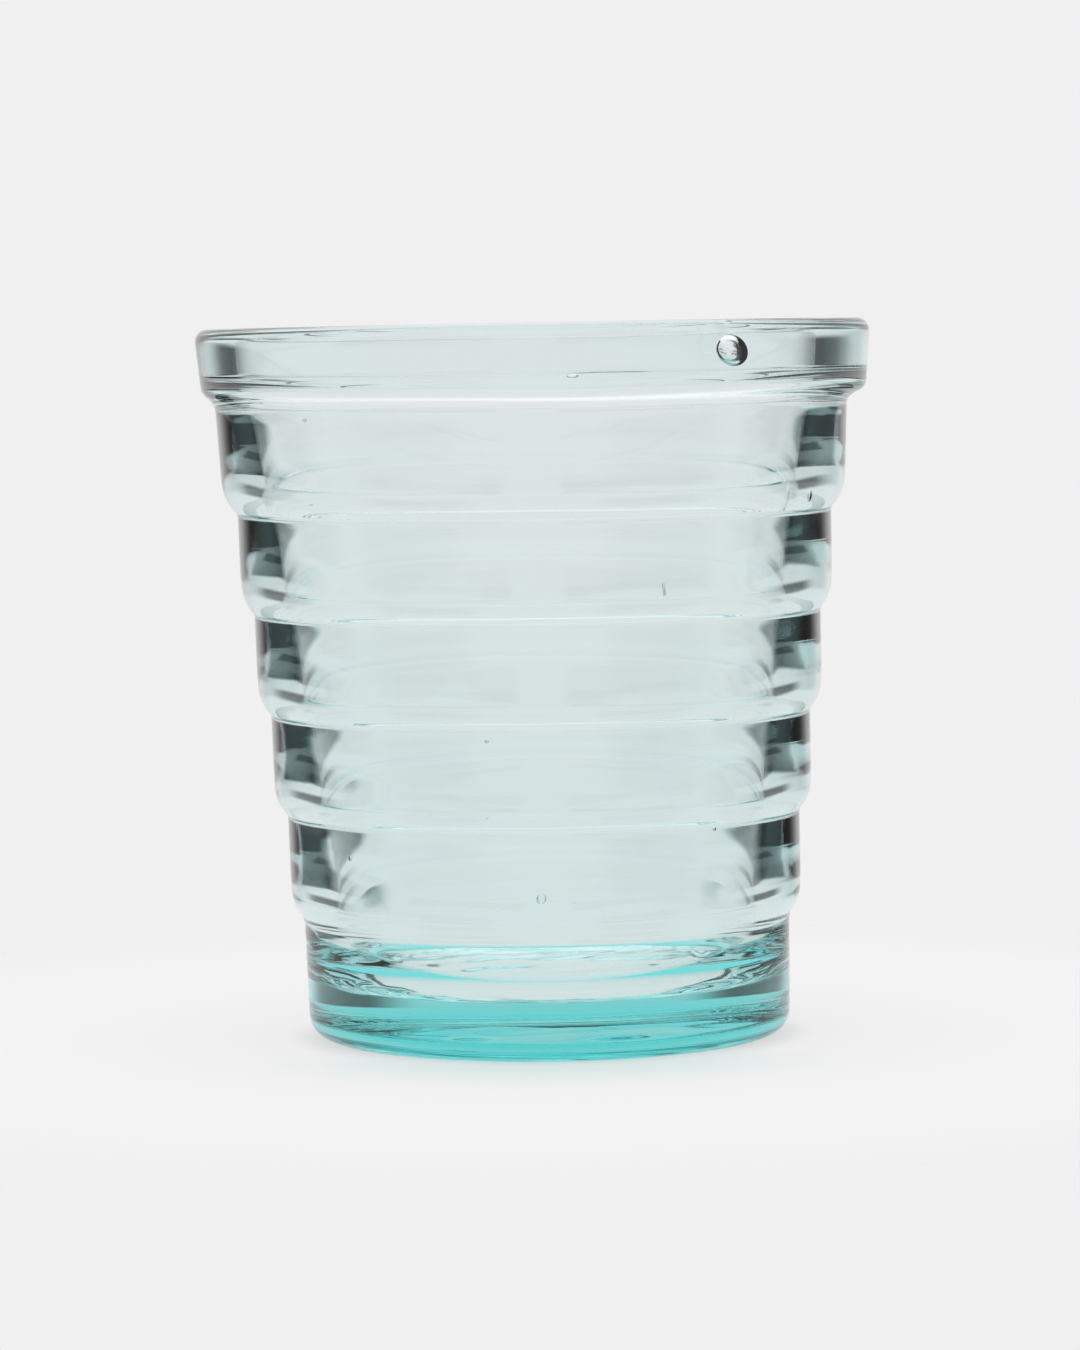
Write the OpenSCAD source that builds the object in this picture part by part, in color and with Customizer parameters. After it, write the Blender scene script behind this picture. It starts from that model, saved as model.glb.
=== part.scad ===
// Pressed-glass drinking tumbler in one piece: a thick conical cup with stepped rings
// outside, a smooth bore, a heavy collar round the lip and a solid base.
// Millimetres, +Z up through the mouth, origin at the centre of the foot plane.

/* [Overall] */
// Height from the table to the lip
height = 90; // [86:1:100]
// Radius of the outside wall of the base
base_r = 30.6; // [29:0.1:32]
// Height of the lowest step above the table
base_h = 16.1; // [12:0.1:18]

/* [Rings] */
// Number of stepped rings between the base and the collar
ring_count = 5; // [2:1:5]
// Height of each ring below the top one, which takes up the rest
ring_h = 12.68; // [10:0.02:13]
// Radius gained at each step
ring_step = 1.7; // [1.2:0.01:1.9]
// Radius gained at the step under the top ring
top_ring_step = 2.09; // [1.2:0.01:2.4]
// Inward lean of each wall towards the table, in degrees
draft = 0.7; // [0:0.1:1.5]
// The same lean on the top ring
top_draft = 3.1; // [0:0.1:4]
// Radius of the slow belly on the lower half of each ring
belly_r = 45; // [30:5:60]
// Turn of that belly, in degrees
belly_turn = 4.5; // [3.5:0.1:5.5]
// Radius of the convex lower edge of the lowest ring
edge_r = 4.25; // [3:0.05:5]
// Gain of that radius from each ring to the next one up
edge_gain = 0.45; // [0:0.05:0.6]
// Radius of the hollow corner under the lowest ring
base_cove_r = 3; // [1:0.1:4]
// Radius of the hollow corner under each other ring
cove_r = 1.25; // [0.6:0.05:1.6]

/* [Collar] */
// Height of the collar's underside above the table, less than the height
collar_drop = 8.8; // [8:0.1:10]
// Radius of the collar at its widest
collar_r = 42.5; // [42.2:0.05:43.5]
// Outward flare of the collar's face, in degrees
collar_flare = 4; // [0:0.5:6]
// Radius of the convex lower edge of the collar
collar_edge_r = 1.9; // [1.6:0.1:2.2]
// Radius of the hollow corner under the collar
collar_cove_r = 2; // [1:0.1:2.4]
// Radius of the rounded outer and inner edges of the lip
lip_r = 1.6; // [0.8:0.1:2]

/* [Bore] */
// Radius of the mouth at the lip
mouth_r = 36.8; // [35:0.1:37.4]
// Taper of the bore under the top ring, in degrees from the axis
bore_taper = 8; // [7:0.1:8.5]
// Taper of the bore behind the top ring
throat_taper = 10.4; // [8:0.1:11]
// Taper of the bore behind the collar
lip_taper = 5; // [3:0.5:8]
// Thickness of glass under the floor of the bore
floor_h = 6.6; // [5:0.1:12]
// Radius of the hollow corner between the floor and the bore
floor_cove_r = 8; // [3:0.5:9]

/* [Foot] */
// Radius of the rounded outer edge of the foot
foot_r = 3; // [1.5:0.1:4]
// Radius of the hollow under the base, inside the ring it stands on
recess_r = 24.4; // [20:0.1:25]
// Depth of that hollow at the axis
recess_depth = 1.3; // [0.5:0.1:2]

/* [Hidden] */

glass_colour = [0.72, 0.88, 0.88, 0.45];
facets = 128; // round the axis, for the preview
arc_steps = 8; // straight pieces in each rounded edge of the section

collar_z = height - collar_drop;

// From a step down and up to the ends of the straight walls under and over it
below_step = 1;
above_step = 6;

// Lean of wall i, with 0 the base and ring_count the top ring
function lean(i) = i == ring_count ? top_draft : draft;
// Radius of wall i halfway up it
function wall_r(i) = base_r + i * ring_step + (i == ring_count ? top_ring_step - ring_step : 0);
// Height of the step on which wall i + 1 begins
function step_z(i) = base_h + i * ring_h;
// Heights between which wall i stands
function wall_low(i) = i == 0 ? 0 : step_z(i - 1);
function wall_high(i) = i == ring_count ? collar_z : step_z(i);
// Radius of wall i at height z, with its lean
function wall_at(i, z) = wall_r(i) + (z - (wall_low(i) + wall_high(i)) / 2) * tan(lean(i));

// Points of an arc in the section, from one angle to another, in degrees from +X
function arc(centre, r, from, to) = [
    for (k = [0 : arc_steps]) let (a = from + (to - from) * k / arc_steps)
        centre + r * [cos(a), sin(a)]
];

// An outward step from radius r1 to r2 at height z: a hollow corner, a convex edge and a
// belly, which meet the walls at their leans
function outward_step(r1, r2, z, hollow, convex, lean1, lean2, belly, bend) =
    let (
        hollow_x = r1 + hollow * cos(lean1),
        across = hollow_x + convex * cos(bend) + belly * (cos(lean2) - cos(bend)) - r2,
        turn = acos(across / (hollow + convex)),
        convex_x = hollow_x - across,
        convex_z = z + convex * sin(turn),
        shift = belly - convex
    )
    concat(
        arc([hollow_x, z - hollow * sin(turn)], hollow, 180 - lean1, 180 - turn),
        arc([convex_x, convex_z], convex, -turn, -bend),
        arc([convex_x - shift * cos(bend), convex_z + shift * sin(bend)], belly, -bend, -lean2)
    );

// The step under ring i + 1
function ring_edge(i) =
    let (z = step_z(i), hollow = i == 0 ? base_cove_r : cove_r)
    outward_step(
        wall_at(i, z - below_step), wall_at(i + 1, z + above_step),
        z, hollow, edge_r + i * edge_gain, lean(i), lean(i + 1), belly_r, belly_turn);

// The step under the collar, whose belly is its straight flare
function collar_edge() =
    outward_step(
        wall_at(ring_count, collar_z - below_step),
        collar_r - (collar_drop - lip_r) * tan(collar_flare),
        collar_z, collar_cove_r, collar_edge_r, top_draft, collar_flare, collar_edge_r, collar_flare);

// The outside of the glass, from the foot up to the lip
function outside() = concat(
    arc([wall_at(0, 0) - foot_r, foot_r], foot_r, -90, 0),
    [for (i = [0 : ring_count - 1]) each ring_edge(i)],
    collar_edge(),
    arc([collar_r - lip_r, height - lip_r], lip_r, -collar_flare, 90)
);

// The bore, from the lip down to the middle of the floor
function bore() =
    let (
        throat_z = step_z(ring_count - 1),
        lip_x = mouth_r + lip_r / tan(45 + lip_taper / 2),
        collar_x = mouth_r - collar_drop * tan(lip_taper),
        throat_x = collar_x - (collar_z - throat_z) * tan(throat_taper),
        floor_x = throat_x - (throat_z - floor_h) * tan(bore_taper),
        cove_x = floor_x - floor_cove_r * tan(45 - bore_taper / 2)
    )
    concat(
        arc([lip_x, height - lip_r], lip_r, 90, 180 - lip_taper),
        [[collar_x, collar_z], [throat_x, throat_z]],
        arc([cove_x, floor_h + floor_cove_r], floor_cove_r, -bore_taper, -90),
        [[0, floor_h]]
    );

// The shallow dished hollow under the base, from the axis out to the ring it stands on
function recess() =
    let (
        dish_r = (recess_r * recess_r + recess_depth * recess_depth) / (2 * recess_depth),
        half_turn = asin(recess_r / dish_r)
    )
    arc([0, recess_depth - dish_r], dish_r, 90, 90 - half_turn);

module tumbler() {
    color(glass_colour)
        rotate_extrude($fn = facets)
            polygon(concat(recess(), outside(), bore()));
}

tumbler();
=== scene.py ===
import math

import bpy
import numpy as np
from mathutils import Matrix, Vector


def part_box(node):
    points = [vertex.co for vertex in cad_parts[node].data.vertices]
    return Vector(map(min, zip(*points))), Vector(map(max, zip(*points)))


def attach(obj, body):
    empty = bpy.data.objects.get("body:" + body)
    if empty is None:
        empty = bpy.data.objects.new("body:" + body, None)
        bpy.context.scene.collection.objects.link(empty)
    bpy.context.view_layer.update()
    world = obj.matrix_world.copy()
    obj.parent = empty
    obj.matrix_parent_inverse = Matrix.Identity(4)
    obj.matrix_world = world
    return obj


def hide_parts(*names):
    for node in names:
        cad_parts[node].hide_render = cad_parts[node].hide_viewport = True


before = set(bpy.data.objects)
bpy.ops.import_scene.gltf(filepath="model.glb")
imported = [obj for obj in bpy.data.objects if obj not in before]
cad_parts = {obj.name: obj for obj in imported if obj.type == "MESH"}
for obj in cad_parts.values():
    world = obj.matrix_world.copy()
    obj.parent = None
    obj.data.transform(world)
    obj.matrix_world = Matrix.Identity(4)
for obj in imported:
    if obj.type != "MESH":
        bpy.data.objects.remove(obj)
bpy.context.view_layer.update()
print("frame loaded")

camera = {
    "place": (-0.0007, -0.695, 0.09207),  # metres
    "lookDown": 3.83,  # degrees below level
    "roll": -0.78,  # degrees
    "lens": 146.7,  # mm
    "sensor": 36,  # mm
    "nearest": 0.01,  # metres, where the view starts
}


def placeCamera(settings):
    data = bpy.data.cameras.new("camera")
    data.lens = settings["lens"]
    data.sensor_width = settings["sensor"]
    data.clip_start = settings["nearest"]
    eye = bpy.data.objects.new("camera", data)
    bpy.context.scene.collection.objects.link(eye)
    eye.matrix_world = (
        Matrix.Translation(settings["place"])
        @ Matrix.Rotation(math.radians(90 - settings["lookDown"]), 4, "X")
        @ Matrix.Rotation(math.radians(settings["roll"]), 4, "Z")
    )
    bpy.context.scene.camera = eye


placeCamera(camera)
print("camera placed")


class Wire:  # one output of a node, which takes part in sums like a number
    def __init__(self, tree, socket=None):
        self.tree = tree
        self.socket = socket

    def node(self, kind, settings=None, sockets=None, output=0):
        made = self.tree.nodes.new(kind)
        for name, value in (settings or {}).items():
            setattr(made, name, value)
        for name, value in (sockets or {}).items():
            if isinstance(value, Wire):
                self.tree.links.new(value.socket, made.inputs[name])
            else:
                made.inputs[name].default_value = value
        return Wire(self.tree, made.outputs[output] if made.outputs else None)

    def math(self, operation, *values):
        return self.node("ShaderNodeMath", {"operation": operation}, dict(enumerate(values)))

    def root(self):
        return self.math("SQRT", self)

    def axes(self):
        split = self.node("ShaderNodeSeparateXYZ", {}, {"Vector": self}).socket.node
        return [Wire(self.tree, out) for out in split.outputs]

    def vector(self, x, y, z):
        return self.node("ShaderNodeCombineXYZ", {}, {"X": x, "Y": y, "Z": z})

    def smooth(self, start, end):  # 0 below start, 1 above end
        return self.node(
            "ShaderNodeMapRange",
            {"interpolation_type": "SMOOTHSTEP"},
            {"Value": self, "From Min": start, "From Max": end},
        )

    def mix(self, start, end):  # colours, by this wire as the factor
        return self.node(
            "ShaderNodeMix", {"data_type": "RGBA"}, {0: self, 6: start, 7: end}, output=2
        )

    def __add__(self, other):
        return self.math("ADD", self, other)

    __radd__ = __add__

    def __sub__(self, other):
        return self.math("SUBTRACT", self, other)

    def __rsub__(self, other):
        return self.math("SUBTRACT", other, self)

    def __mul__(self, other):
        return self.math("MULTIPLY", self, other)

    __rmul__ = __mul__

    def __truediv__(self, other):
        return self.math("DIVIDE", self, other)

    def __abs__(self):
        return self.math("ABSOLUTE", self)


def newMaterial(name):
    material = bpy.data.materials.new(name)
    material.use_nodes = True
    material.node_tree.nodes.clear()
    return material, Wire(material.node_tree)


tumbler = {  # lengths in mm, angles in degrees
    "height": 90,
    "baseRadius": 30.6,
    "baseHeight": 16.1,
    "ringCount": 5,
    "ringHeight": 12.68,
    "ringStep": 1.7,
    "topRingStep": 2.09,
    "draft": 0.7,
    "topDraft": 3.1,  # of the top ring
    "edgeRadius": 4.25,
    "edgeGain": 0.45,
    "bellyRadius": 45,
    "bellyTurn": 4.5,
    "belowStep": 1,  # from a step to the ends of the walls under and over it
    "aboveStep": 6,
    "baseCoveRadius": 3,
    "coveRadius": 1.25,
    "collarDrop": 8.8,
    "collarRadius": 42.5,
    "collarFlare": 4,
    "collarEdgeRadius": 1.9,
    "collarCoveRadius": 2,
    "lipRadius": 1.6,
    "mouthRadius": 36.8,
    "boreTaper": 8.6,  # of the bore below the top ring
    "lowTaper": 7.3,  # of the bore at its floor
    "throatTaper": 10.4,  # of the bore behind the top ring
    "lipTaper": 5,  # of the bore behind the collar
    "taperBlend": 5,  # over which one taper turns into the next
    "floorHeight": 6.6,
    "floorCoveRadius": 8,
    "footRadius": 3,
    "recessRadius": 24.4,
    "recessDepth": 1.3,
    "around": 256,  # faces round the axis
    "spacing": 1.3,  # of the rings of faces on the straight walls
    "lean": 0.985,  # of the axis, to -X
    "lipTilt": 0.3,
    "collarShift": 0.4,
    "wallWaves": 0.04,  # sizes of the unevenness of each surface
    "boreWaves": 0.06,
    "boreRipple": 0.006,
    "recessRipple": 0.15,
    "floorRipple": 0.12,
    "collarWaves": 0.22,
    "seed": 7,
}

bubbles = [  # angle from the front to +X, height, distance from the axis, size across, up and through
    {"angle": 36.7, "height": 86.6, "radius": 39.6, "size": (4.7, 3.7, 2.8), "tilt": 20},
    {"angle": 62.75, "height": 68.8, "radius": 37.2, "size": (0.9, 1.5, 0.8), "tilt": -30},
    {"angle": 41, "height": 28, "radius": 31.4, "size": (0.5, 0.6, 0.5), "tilt": 0},
    {"angle": -49.25, "height": 24.6, "radius": 30.9, "size": (0.5, 0.7, 0.5), "tilt": 0},
    {"angle": -1, "height": 20.4, "radius": 30.2, "size": (1.1, 1.3, 0.3), "tilt": 25},
    {"angle": 7.25, "height": 83.7, "radius": 39.4, "size": (1.4, 0.7, 0.5), "tilt": 0},
    {"angle": 148, "height": 52, "radius": 34.5, "size": (0.5, 0.7, 0.4), "tilt": 15},
    {"angle": -122, "height": 74, "radius": 38, "size": (0.7, 1.0, 0.6), "tilt": -10},
    {"angle": -165, "height": 31, "radius": 31.6, "size": (0.5, 0.8, 0.5), "tilt": 0},
]


def step(value, start, end):
    share = np.clip((value - start) / (end - start), 0, 1)
    return share * share * (3 - 2 * share)


def arc(centre, radius, start, end, steps):
    angles = np.radians(np.linspace(start, end, steps + 1))
    return [(centre[0] + radius * math.cos(a), centre[1] + radius * math.sin(a)) for a in angles]


def line(start, end, steps):  # the points between the ends
    shares = np.arange(1, steps) / steps
    return [(start[0] + (end[0] - start[0]) * s, start[1] + (end[1] - start[1]) * s) for s in shares]


def outwardStep(low, high, z, hollow, convex, leans, belly):
    # a hollow corner, a convex edge and a slow belly, from one wall out to the next one up
    below, above = (math.cos(math.radians(lean)) for lean in leans)
    radius, turn = belly
    bend = math.cos(math.radians(turn))
    flat = hollow * below + convex * bend + radius * (above - bend) - (high - low)
    across = flat / (hollow + convex)
    steep = math.degrees(math.acos(across))
    rise = math.sin(math.radians(steep))
    centre = (low + hollow * below - flat, z + convex * rise)
    shift = radius - convex
    far = (centre[0] - shift * bend, centre[1] + shift * math.sin(math.radians(turn)))
    hollowCentre = (low + hollow * below, z - hollow * rise)
    run = arc(hollowCentre, hollow, 180 - leans[0], 180 - steep, 7)
    run += arc(centre, convex, -steep, -turn, 12)[1:]
    return run + arc(far, radius, -turn, -leans[1], 5)[1:]


def joinRuns(runs, spacing):  # arcs of the section, with points added on the straights between them
    points = list(runs[0])
    for run in runs[1:]:
        gap = math.dist(points[-1], run[0])
        points += line(points[-1], run[0], max(1, round(gap / spacing)))
        points += run
    return points


def outsideSection(t):
    collarZ = t["height"] - t["collarDrop"]
    last = t["ringCount"]
    steps = [t["baseHeight"] + i * t["ringHeight"] for i in range(last)] + [collarZ]
    leans = [t["draft"]] * last + [t["topDraft"]]
    belly = (t["bellyRadius"], t["bellyTurn"])

    def wallAt(i, z):
        middle = (steps[i] + (steps[i - 1] if i else 0)) / 2
        extra = t["topRingStep"] - t["ringStep"] if i == last else 0
        slope = math.tan(math.radians(leans[i]))
        return t["baseRadius"] + i * t["ringStep"] + extra + (z - middle) * slope

    foot = t["footRadius"]
    runs = [arc((wallAt(0, 0) - foot, foot), foot, -90, 0, 12)]
    for i, z in enumerate(steps[:last]):
        hollow = t["coveRadius"] if i else t["baseCoveRadius"]
        convex = t["edgeRadius"] + i * t["edgeGain"]
        walls = wallAt(i, z - t["belowStep"]), wallAt(i + 1, z + t["aboveStep"])
        runs.append(outwardStep(*walls, z, hollow, convex, leans[i : i + 2], belly))
    lip, flare = t["lipRadius"], t["collarFlare"]
    collarLow = t["collarRadius"] - (t["collarDrop"] - lip) * math.tan(math.radians(flare))
    hollow, convex = t["collarCoveRadius"], t["collarEdgeRadius"]
    walls = wallAt(last, collarZ - t["belowStep"]), collarLow
    runs.append(
        outwardStep(*walls, collarZ, hollow, convex, (leans[last], flare), (convex, flare))
    )
    runs.append(arc((t["collarRadius"] - lip, t["height"] - lip), lip, -flare, 90, 10))
    return joinRuns(runs, t["spacing"])


def boreSection(t):
    lip, cove = t["lipRadius"], t["floorCoveRadius"]
    collarZ = t["height"] - t["collarDrop"]
    throatZ = t["baseHeight"] + (t["ringCount"] - 1) * t["ringHeight"]
    lipX = t["mouthRadius"] + lip / math.tan(math.radians(45 + t["lipTaper"] / 2))
    lipRun = arc((lipX, t["height"] - lip), lip, 90, 180 - t["lipTaper"], 10)
    radius, top = lipRun[-1]
    bottom = t["floorHeight"] + cove * (1 - math.sin(math.radians(t["lowTaper"])))
    heights = np.linspace(top, bottom, round((top - bottom) / t["spacing"]))
    middles = (heights[1:] + heights[:-1]) / 2
    half = t["taperBlend"] / 2
    taper = np.interp(middles, [bottom, throatZ], [t["lowTaper"], t["boreTaper"]])
    taper += (t["throatTaper"] - t["boreTaper"]) * step(middles, throatZ - half, throatZ + half)
    taper += (t["lipTaper"] - t["throatTaper"]) * step(middles, collarZ - half, collarZ + half)
    radii = radius + np.cumsum(np.diff(heights) * np.tan(np.radians(taper)))
    wall = list(zip(radii.tolist(), heights[1:].tolist()))
    coveX = wall[-1][0] - cove * math.cos(math.radians(t["lowTaper"]))
    coveRun = arc((coveX, t["floorHeight"] + cove), cove, -t["lowTaper"], -90, 24)
    flat = [(coveX * (1 - share), t["floorHeight"]) for share in np.arange(1, 16) / 16]
    return lipRun + wall + coveRun[1:] + flat


def recessSection(t):
    dish = (t["recessRadius"] ** 2 + t["recessDepth"] ** 2) / (2 * t["recessDepth"])
    turn = math.degrees(math.asin(t["recessRadius"] / dish))
    return arc((0, t["recessDepth"] - dish), dish, 90, 90 - turn, 22)[1:]


def waves(rng, count, low, high, x, y):  # a sum of plane waves with lengths from low to high
    total = np.zeros(np.broadcast(x, y).shape)
    for _ in range(count):
        turn = math.tau / rng.uniform(low, high)
        heading, start = rng.uniform(0, math.tau), rng.uniform(0, math.tau)
        total += np.sin(turn * (x * math.cos(heading) + y * math.sin(heading)) + start)
    return total / math.sqrt(count)


def harmonics(rng, first, last, angle, climb):  # waves round the axis, which drift with height
    total = np.zeros(np.broadcast(angle, climb).shape)
    for order in range(first, last + 1):
        start, drift = rng.uniform(0, math.tau), rng.uniform(-1, 1)
        total += np.sin(order * angle + start + drift * climb) / (last - first + 1) ** 0.5
    return total


def shapeTumbler(t):
    rng = np.random.default_rng(t["seed"])
    under, outside, bore = recessSection(t), outsideSection(t), boreSection(t)
    section = np.array(under + outside + bore)
    r, z = section[:, :1], section[:, 1:]
    rows = len(section)
    place = np.arange(rows)[:, None]
    onUnder = place < len(under)
    onBore = place >= rows - len(bore)
    onOutside = ~onUnder & ~onBore
    angle = np.arange(t["around"])[None, :] * math.tau / t["around"]
    x, y = r * np.sin(angle), -r * np.cos(angle)

    # pressed glass is a little uneven: slow waves outside, stronger ones in the bore
    wall = onOutside * step(z, 3, 8)
    inner = onBore * step(r, 12, 20) * step(t["height"] + 0.5 - z, 0, 3)
    swell = t["wallWaves"] * wall * harmonics(rng, 2, 5, angle, z / 20)
    swell = swell + t["boreWaves"] * inner * harmonics(rng, 2, 7, angle, z / 15)
    swell = swell + t["boreRipple"] * inner * harmonics(rng, 9, 24, angle, z / 6)
    x, y = x * (1 + swell / np.maximum(r, 1)), y * (1 + swell / np.maximum(r, 1))
    hollow = onUnder * step(t["recessRadius"] - r, 0, 4)
    flat = onBore * step(22 - r, 0, 5)
    lift = t["recessRipple"] * hollow * waves(rng, 7, 6, 14, x, y)
    lift = lift + t["floorRipple"] * flat * waves(rng, 6, 7, 16, x, y)
    height = z + lift

    # the lower edge of the collar wanders up and down, and the collar sits a little to one side
    collarZ = t["height"] - t["collarDrop"]
    edge = onOutside * step(z, collarZ - 2.5, collarZ - 0.5) * step(collarZ + 4 - z, 0, 2.5)
    height = height + t["collarWaves"] * edge * harmonics(rng, 3, 8, angle, 0 * z)
    x = x + t["collarShift"] * onOutside * step(z, collarZ - 0.8, collarZ + 0.4)
    height = height + x * math.tan(math.radians(t["lipTilt"])) * step(z, 76, 88)
    x = x - height * math.tan(math.radians(t["lean"]))
    grid = np.stack([x, y, height], 2).reshape(-1, 3)
    poles = np.array([[0, 0, t["recessDepth"]], [0, 0, t["floorHeight"]]], float)
    poles[:, 0] -= poles[:, 2] * math.tan(math.radians(t["lean"]))
    poles[:, 2] += [lift[0].mean(), lift[-1].mean()]
    points = np.vstack([grid, poles])

    n = t["around"]
    j = np.arange(n)
    k = (j + 1) % n
    faces = []
    for i in range(rows - 1):
        a, b = i * n, (i + 1) * n
        faces += np.stack([a + j, a + k, b + k, b + j], 1).tolist()
    top = (rows - 1) * n
    faces += np.stack([k, j, np.full(n, rows * n)], 1).tolist()
    faces += np.stack([top + j, top + k, np.full(n, rows * n + 1)], 1).tolist()
    return points, faces


def shapeBubble(b, lean, first):  # a shell that faces inward, as the inner surface of the glass
    across, up = 24, 16
    lat = np.linspace(0, math.pi, up + 1)[1:-1, None]
    lon = np.arange(across)[None, :] * math.tau / across
    ball = np.stack(
        [np.sin(lat) * np.cos(lon), np.sin(lat) * np.sin(lon), np.cos(lat) + 0 * lon], 2
    ).reshape(-1, 3)
    ball = np.vstack([ball, [[0, 0, 1], [0, 0, -1]]])
    wide, tall, deep = b["size"]
    ball = ball * np.array([wide, deep, tall]) / 2
    turn = Matrix.Rotation(math.radians(b["angle"]), 3, "Z") @ Matrix.Rotation(
        math.radians(b["tilt"]), 3, "Y"
    )
    ball = ball @ np.array(turn).T
    a = math.radians(b["angle"])
    ball += [b["radius"] * math.sin(a), -b["radius"] * math.cos(a), b["height"]]
    ball[:, 0] -= ball[:, 2] * math.tan(math.radians(lean))
    j = np.arange(across)
    k = (j + 1) % across
    faces = []
    for i in range(up - 2):
        low, high = i * across, (i + 1) * across
        faces += np.stack([low + j, low + k, high + k, high + j], 1).tolist()
    last = (up - 2) * across
    faces += np.stack([j, np.full(across, (up - 1) * across), k], 1).tolist()
    faces += np.stack([last + j, last + k, np.full(across, (up - 1) * across + 1)], 1).tolist()
    return ball, [[first + v for v in face] for face in faces]


def makeTumbler(t, holes):
    points, faces = shapeTumbler(t)
    for hole in holes:
        more, sides = shapeBubble(hole, t["lean"], len(points))
        points = np.vstack([points, more])
        faces += sides
    low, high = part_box("tumbler")
    unit = (high.z - low.z) / t["height"]  # metres in one unit of the section
    mesh = bpy.data.meshes.new("tumbler")
    mesh.from_pydata((points * unit).tolist(), [], faces)
    mesh.validate()
    mesh.polygons.foreach_set("use_smooth", [True] * len(mesh.polygons))
    mesh.update()
    piece = bpy.data.objects.new("pressedTumbler", mesh)
    bpy.context.scene.collection.objects.link(piece)
    return piece


glass = {
    "refraction": 1.52,
    "absorbedPerMetre": (13, 3.8, 3.8),
    "baseTint": (0.05, 0.92, 0.92, 1),
    "tintTop": 0.0085,  # metres, where the deeper tint of the base ends
    "wallTint": (0.965, 0.99, 0.99, 1),
    "wallFade": (0.02, 0.08),  # metres, between which that tint ends
    "tintStart": (0.0245, 0.0285),  # metres from the axis, so that the underside isn't tinted
    "boreSlope": 0.143,
    "boreEdge": (0.0268, 0.0282),  # metres at the foot plane, from the bore to the outside
    "boreBottom": (0.004, 0.005),  # metres, between the underside and the floor of the bore
    "boreGrain": 0.0000016,  # metres, height of the fine upright grain of the bore
    "grainAcross": 0.03,  # metres from the axis at which the grain has its true size
    "grainUp": 0.03,  # share of the height that counts, which draws the grain out upright
    "grainScale": 4500,
    "skin": 0.000003,  # metres, height of the slow unevenness of the surface
    "skinScale": 260,
}


def makeGlass(g, lean):
    material, w = newMaterial("paleAquaGlass")
    x, y, z = w.node("ShaderNodeTexCoord", output="Object").axes()
    x = x + z * math.tan(math.radians(lean))
    r = (x * x + y * y + 0.00000001).root()  # never 0, as it divides below
    inner = 1 - (r - z * g["boreSlope"]).smooth(*g["boreEdge"])
    inner = inner * z.smooth(*g["boreBottom"])
    low = (1 - z.smooth(0, g["tintTop"])) * r.smooth(*g["tintStart"])
    tint = low.mix(z.smooth(*g["wallFade"]).mix(g["wallTint"], (1, 1, 1, 1)), g["baseTint"])
    across = g["grainAcross"]
    grainPlace = w.vector(x / r * across, y / r * across, z * g["grainUp"])
    grain = w.node(
        "ShaderNodeTexNoise", {}, {"Vector": grainPlace, "Scale": g["grainScale"], "Detail": 2}
    )
    skinPlace = w.vector(x, y, z)
    slow = w.node(
        "ShaderNodeTexNoise", {}, {"Vector": skinPlace, "Scale": g["skinScale"], "Detail": 1}
    )
    height = grain * inner * g["boreGrain"] + slow * g["skin"]
    bump = w.node("ShaderNodeBump", {}, {"Height": height, "Distance": 1, "Strength": 1})
    shader = w.node(
        "ShaderNodeBsdfPrincipled",
        {},
        {
            "Base Color": tint,
            "Roughness": 0,
            "IOR": g["refraction"],
            "Transmission Weight": 1,
            "Normal": bump,
        },
    )
    densest = max(g["absorbedPerMetre"])
    passed = [1 - a / densest for a in g["absorbedPerMetre"]]
    volume = w.node("ShaderNodeVolumeAbsorption", {}, {"Color": (*passed, 1), "Density": densest})
    w.node("ShaderNodeOutputMaterial", {}, {"Surface": shader, "Volume": volume})
    return material


piece = makeTumbler(tumbler, bubbles)
piece.data.materials.append(makeGlass(glass, tumbler["lean"]))
piece.visible_diffuse = False
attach(piece, "root")
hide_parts("tumbler")
print("tumbler made:", len(piece.data.polygons), "faces")

studio = {
    "backdrop": 0.871,  # what the camera sees, linear
    "light": 0.8,  # what the glass sees
    "above": 1.15,  # from overhead, on the floor
    "aboveStart": (20, 45),  # degrees over level
    "card": 0.1,  # light left on the dark cards behind the glass
    "cardColour": (0.62, 0.96, 1, 1),
    "cardAcross": (10, 15, 44, 54),  # degrees either side of straight behind and in front
    "cardFoot": (-23.5, -22.3),  # degrees over level
    "cardTop": (-14.1, -12.9),  # degrees over level, at its highest
    "cardSlope": 0.11,  # fall of the top edge of the cards, towards their far ends
    "sideCard": 0.35,  # light left on the paler cards at the two sides
    "dim": 0.12,  # light left low down, between those cards
    "dimAcross": (20, 38, 62, 80),
    "dimUp": (-10, -6, -1, 2),
    "bounces": 8,  # reflections followed inside the glass
}


def band(value, edges):  # 1 between the second and third edges, and 0 past the outer two
    return value.smooth(edges[0], edges[1]) * (1 - value.smooth(edges[2], edges[3]))


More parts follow.
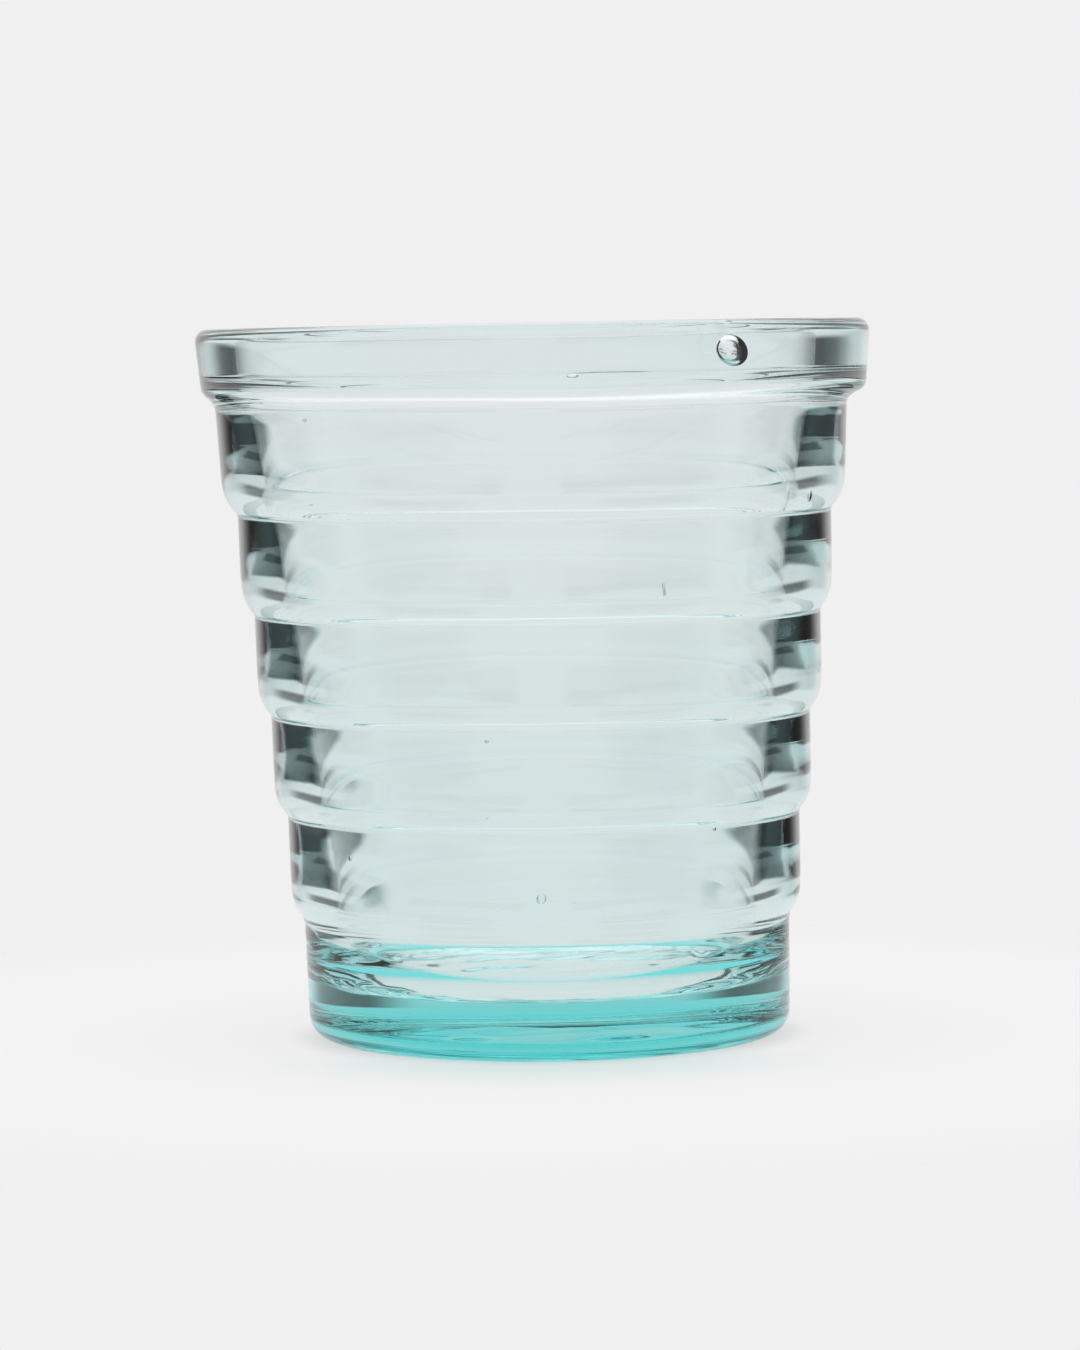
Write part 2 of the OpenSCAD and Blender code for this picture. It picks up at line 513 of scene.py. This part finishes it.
def lightStudio(s):
    world = bpy.data.worlds.new("studio")
    bpy.context.scene.world = world
    world.use_nodes = True
    world.node_tree.nodes.clear()
    w = Wire(world.node_tree)
    x, y, z = w.node("ShaderNodeTexCoord", output="Generated").axes()
    degree = math.degrees(1)
    fromBack = abs(w.math("ARCTAN2", abs(x), abs(y))) * degree
    up = w.math("ARCSINE", z) * degree
    card = up.smooth(*s["cardFoot"])
    behind = card * (1 - (up + s["cardSlope"] * fromBack).smooth(*s["cardTop"]))
    beside = card * (1 - (up + s["cardSlope"] * (90 - fromBack)).smooth(*s["cardTop"]))
    behind = behind * band(fromBack, s["cardAcross"]) * (1 - s["card"])
    beside = beside * band(90 - fromBack, s["cardAcross"]) * (1 - s["sideCard"])
    side = band(fromBack, s["dimAcross"]) * band(up, s["dimUp"]) * (1 - s["dim"])
    level = s["light"] + up.smooth(*s["aboveStart"]) * (s["above"] - s["light"])
    seen = level * (1 - behind) * (1 - beside) * (1 - side)
    camera = w.node("ShaderNodeLightPath", output="Is Camera Ray")
    strength = seen + camera * (s["backdrop"] - seen)
    colour = (behind * (1 - camera)).mix((1, 1, 1, 1), s["cardColour"])
    light = w.node("ShaderNodeBackground", {}, {"Color": colour, "Strength": strength})
    w.node("ShaderNodeOutputWorld", {}, {"Surface": light})
    bpy.context.scene.cycles.glossy_bounces = s["bounces"]


floor = {
    "radius": 0.16,  # metres
    "sides": 96,
    "gap": 0.00005,  # metres under the foot
    "fade": (0.07, 0.15),  # where the floor melts into the backdrop
    "shade": 0.885,
    "contact": (0.029, 0.034),  # where the painted soft shadow round the foot fades
    "contactShade": (0.77, 0.79, 0.79, 1),
    "glow": (0.72, 0.83, 0.82, 1),  # painted glow, standing for the light that the base throws in front
    "glowFade": (0.03, 0.052),
    "glowAcross": (0.45, 0.95),  # cosines of the angle from the front
}


def layFloor(f):
    sides = f["sides"]
    turns = np.arange(sides) * math.tau / sides
    points = [(0.0, 0.0, 0.0)]
    points += [(f["radius"] * math.cos(a), f["radius"] * math.sin(a), 0) for a in turns]
    mesh = bpy.data.meshes.new("floor")
    mesh.from_pydata(points, [], [(0, 1 + i, 1 + (i + 1) % sides) for i in range(sides)])
    ground = bpy.data.objects.new("floor", mesh)
    ground.location.z = -f["gap"]
    bpy.context.scene.collection.objects.link(ground)
    material, w = newMaterial("paleFloor")
    x, y, _ = w.node("ShaderNodeTexCoord", output="Object").axes()
    radius = (x * x + y * y).root()
    away = radius.smooth(*f["fade"])
    plain = (f["shade"], f["shade"], f["shade"], 1)
    # painted shade and light: a soft contact shadow beside the foot, and a pale teal glow in front of
    # it
    front = (0 - y / (radius + 0.001)).smooth(*f["glowAcross"])
    near = (1 - radius.smooth(*f["contact"])) * (1 - front)
    lit = (1 - radius.smooth(*f["glowFade"])) * front
    shade = lit.mix(near.mix(plain, f["contactShade"]), f["glow"])
    matt = w.node("ShaderNodeBsdfDiffuse", {}, {"Color": shade})
    clear = w.node("ShaderNodeBsdfTransparent")
    blend = w.node("ShaderNodeMixShader", {}, {0: away, 1: matt, 2: clear})
    w.node("ShaderNodeOutputMaterial", {}, {"Surface": blend})
    mesh.materials.append(material)
    ground.visible_transmission = False


lightStudio(studio)
layFloor(floor)
print("studio lit")

bpy.context.scene.view_settings.view_transform = "Standard"
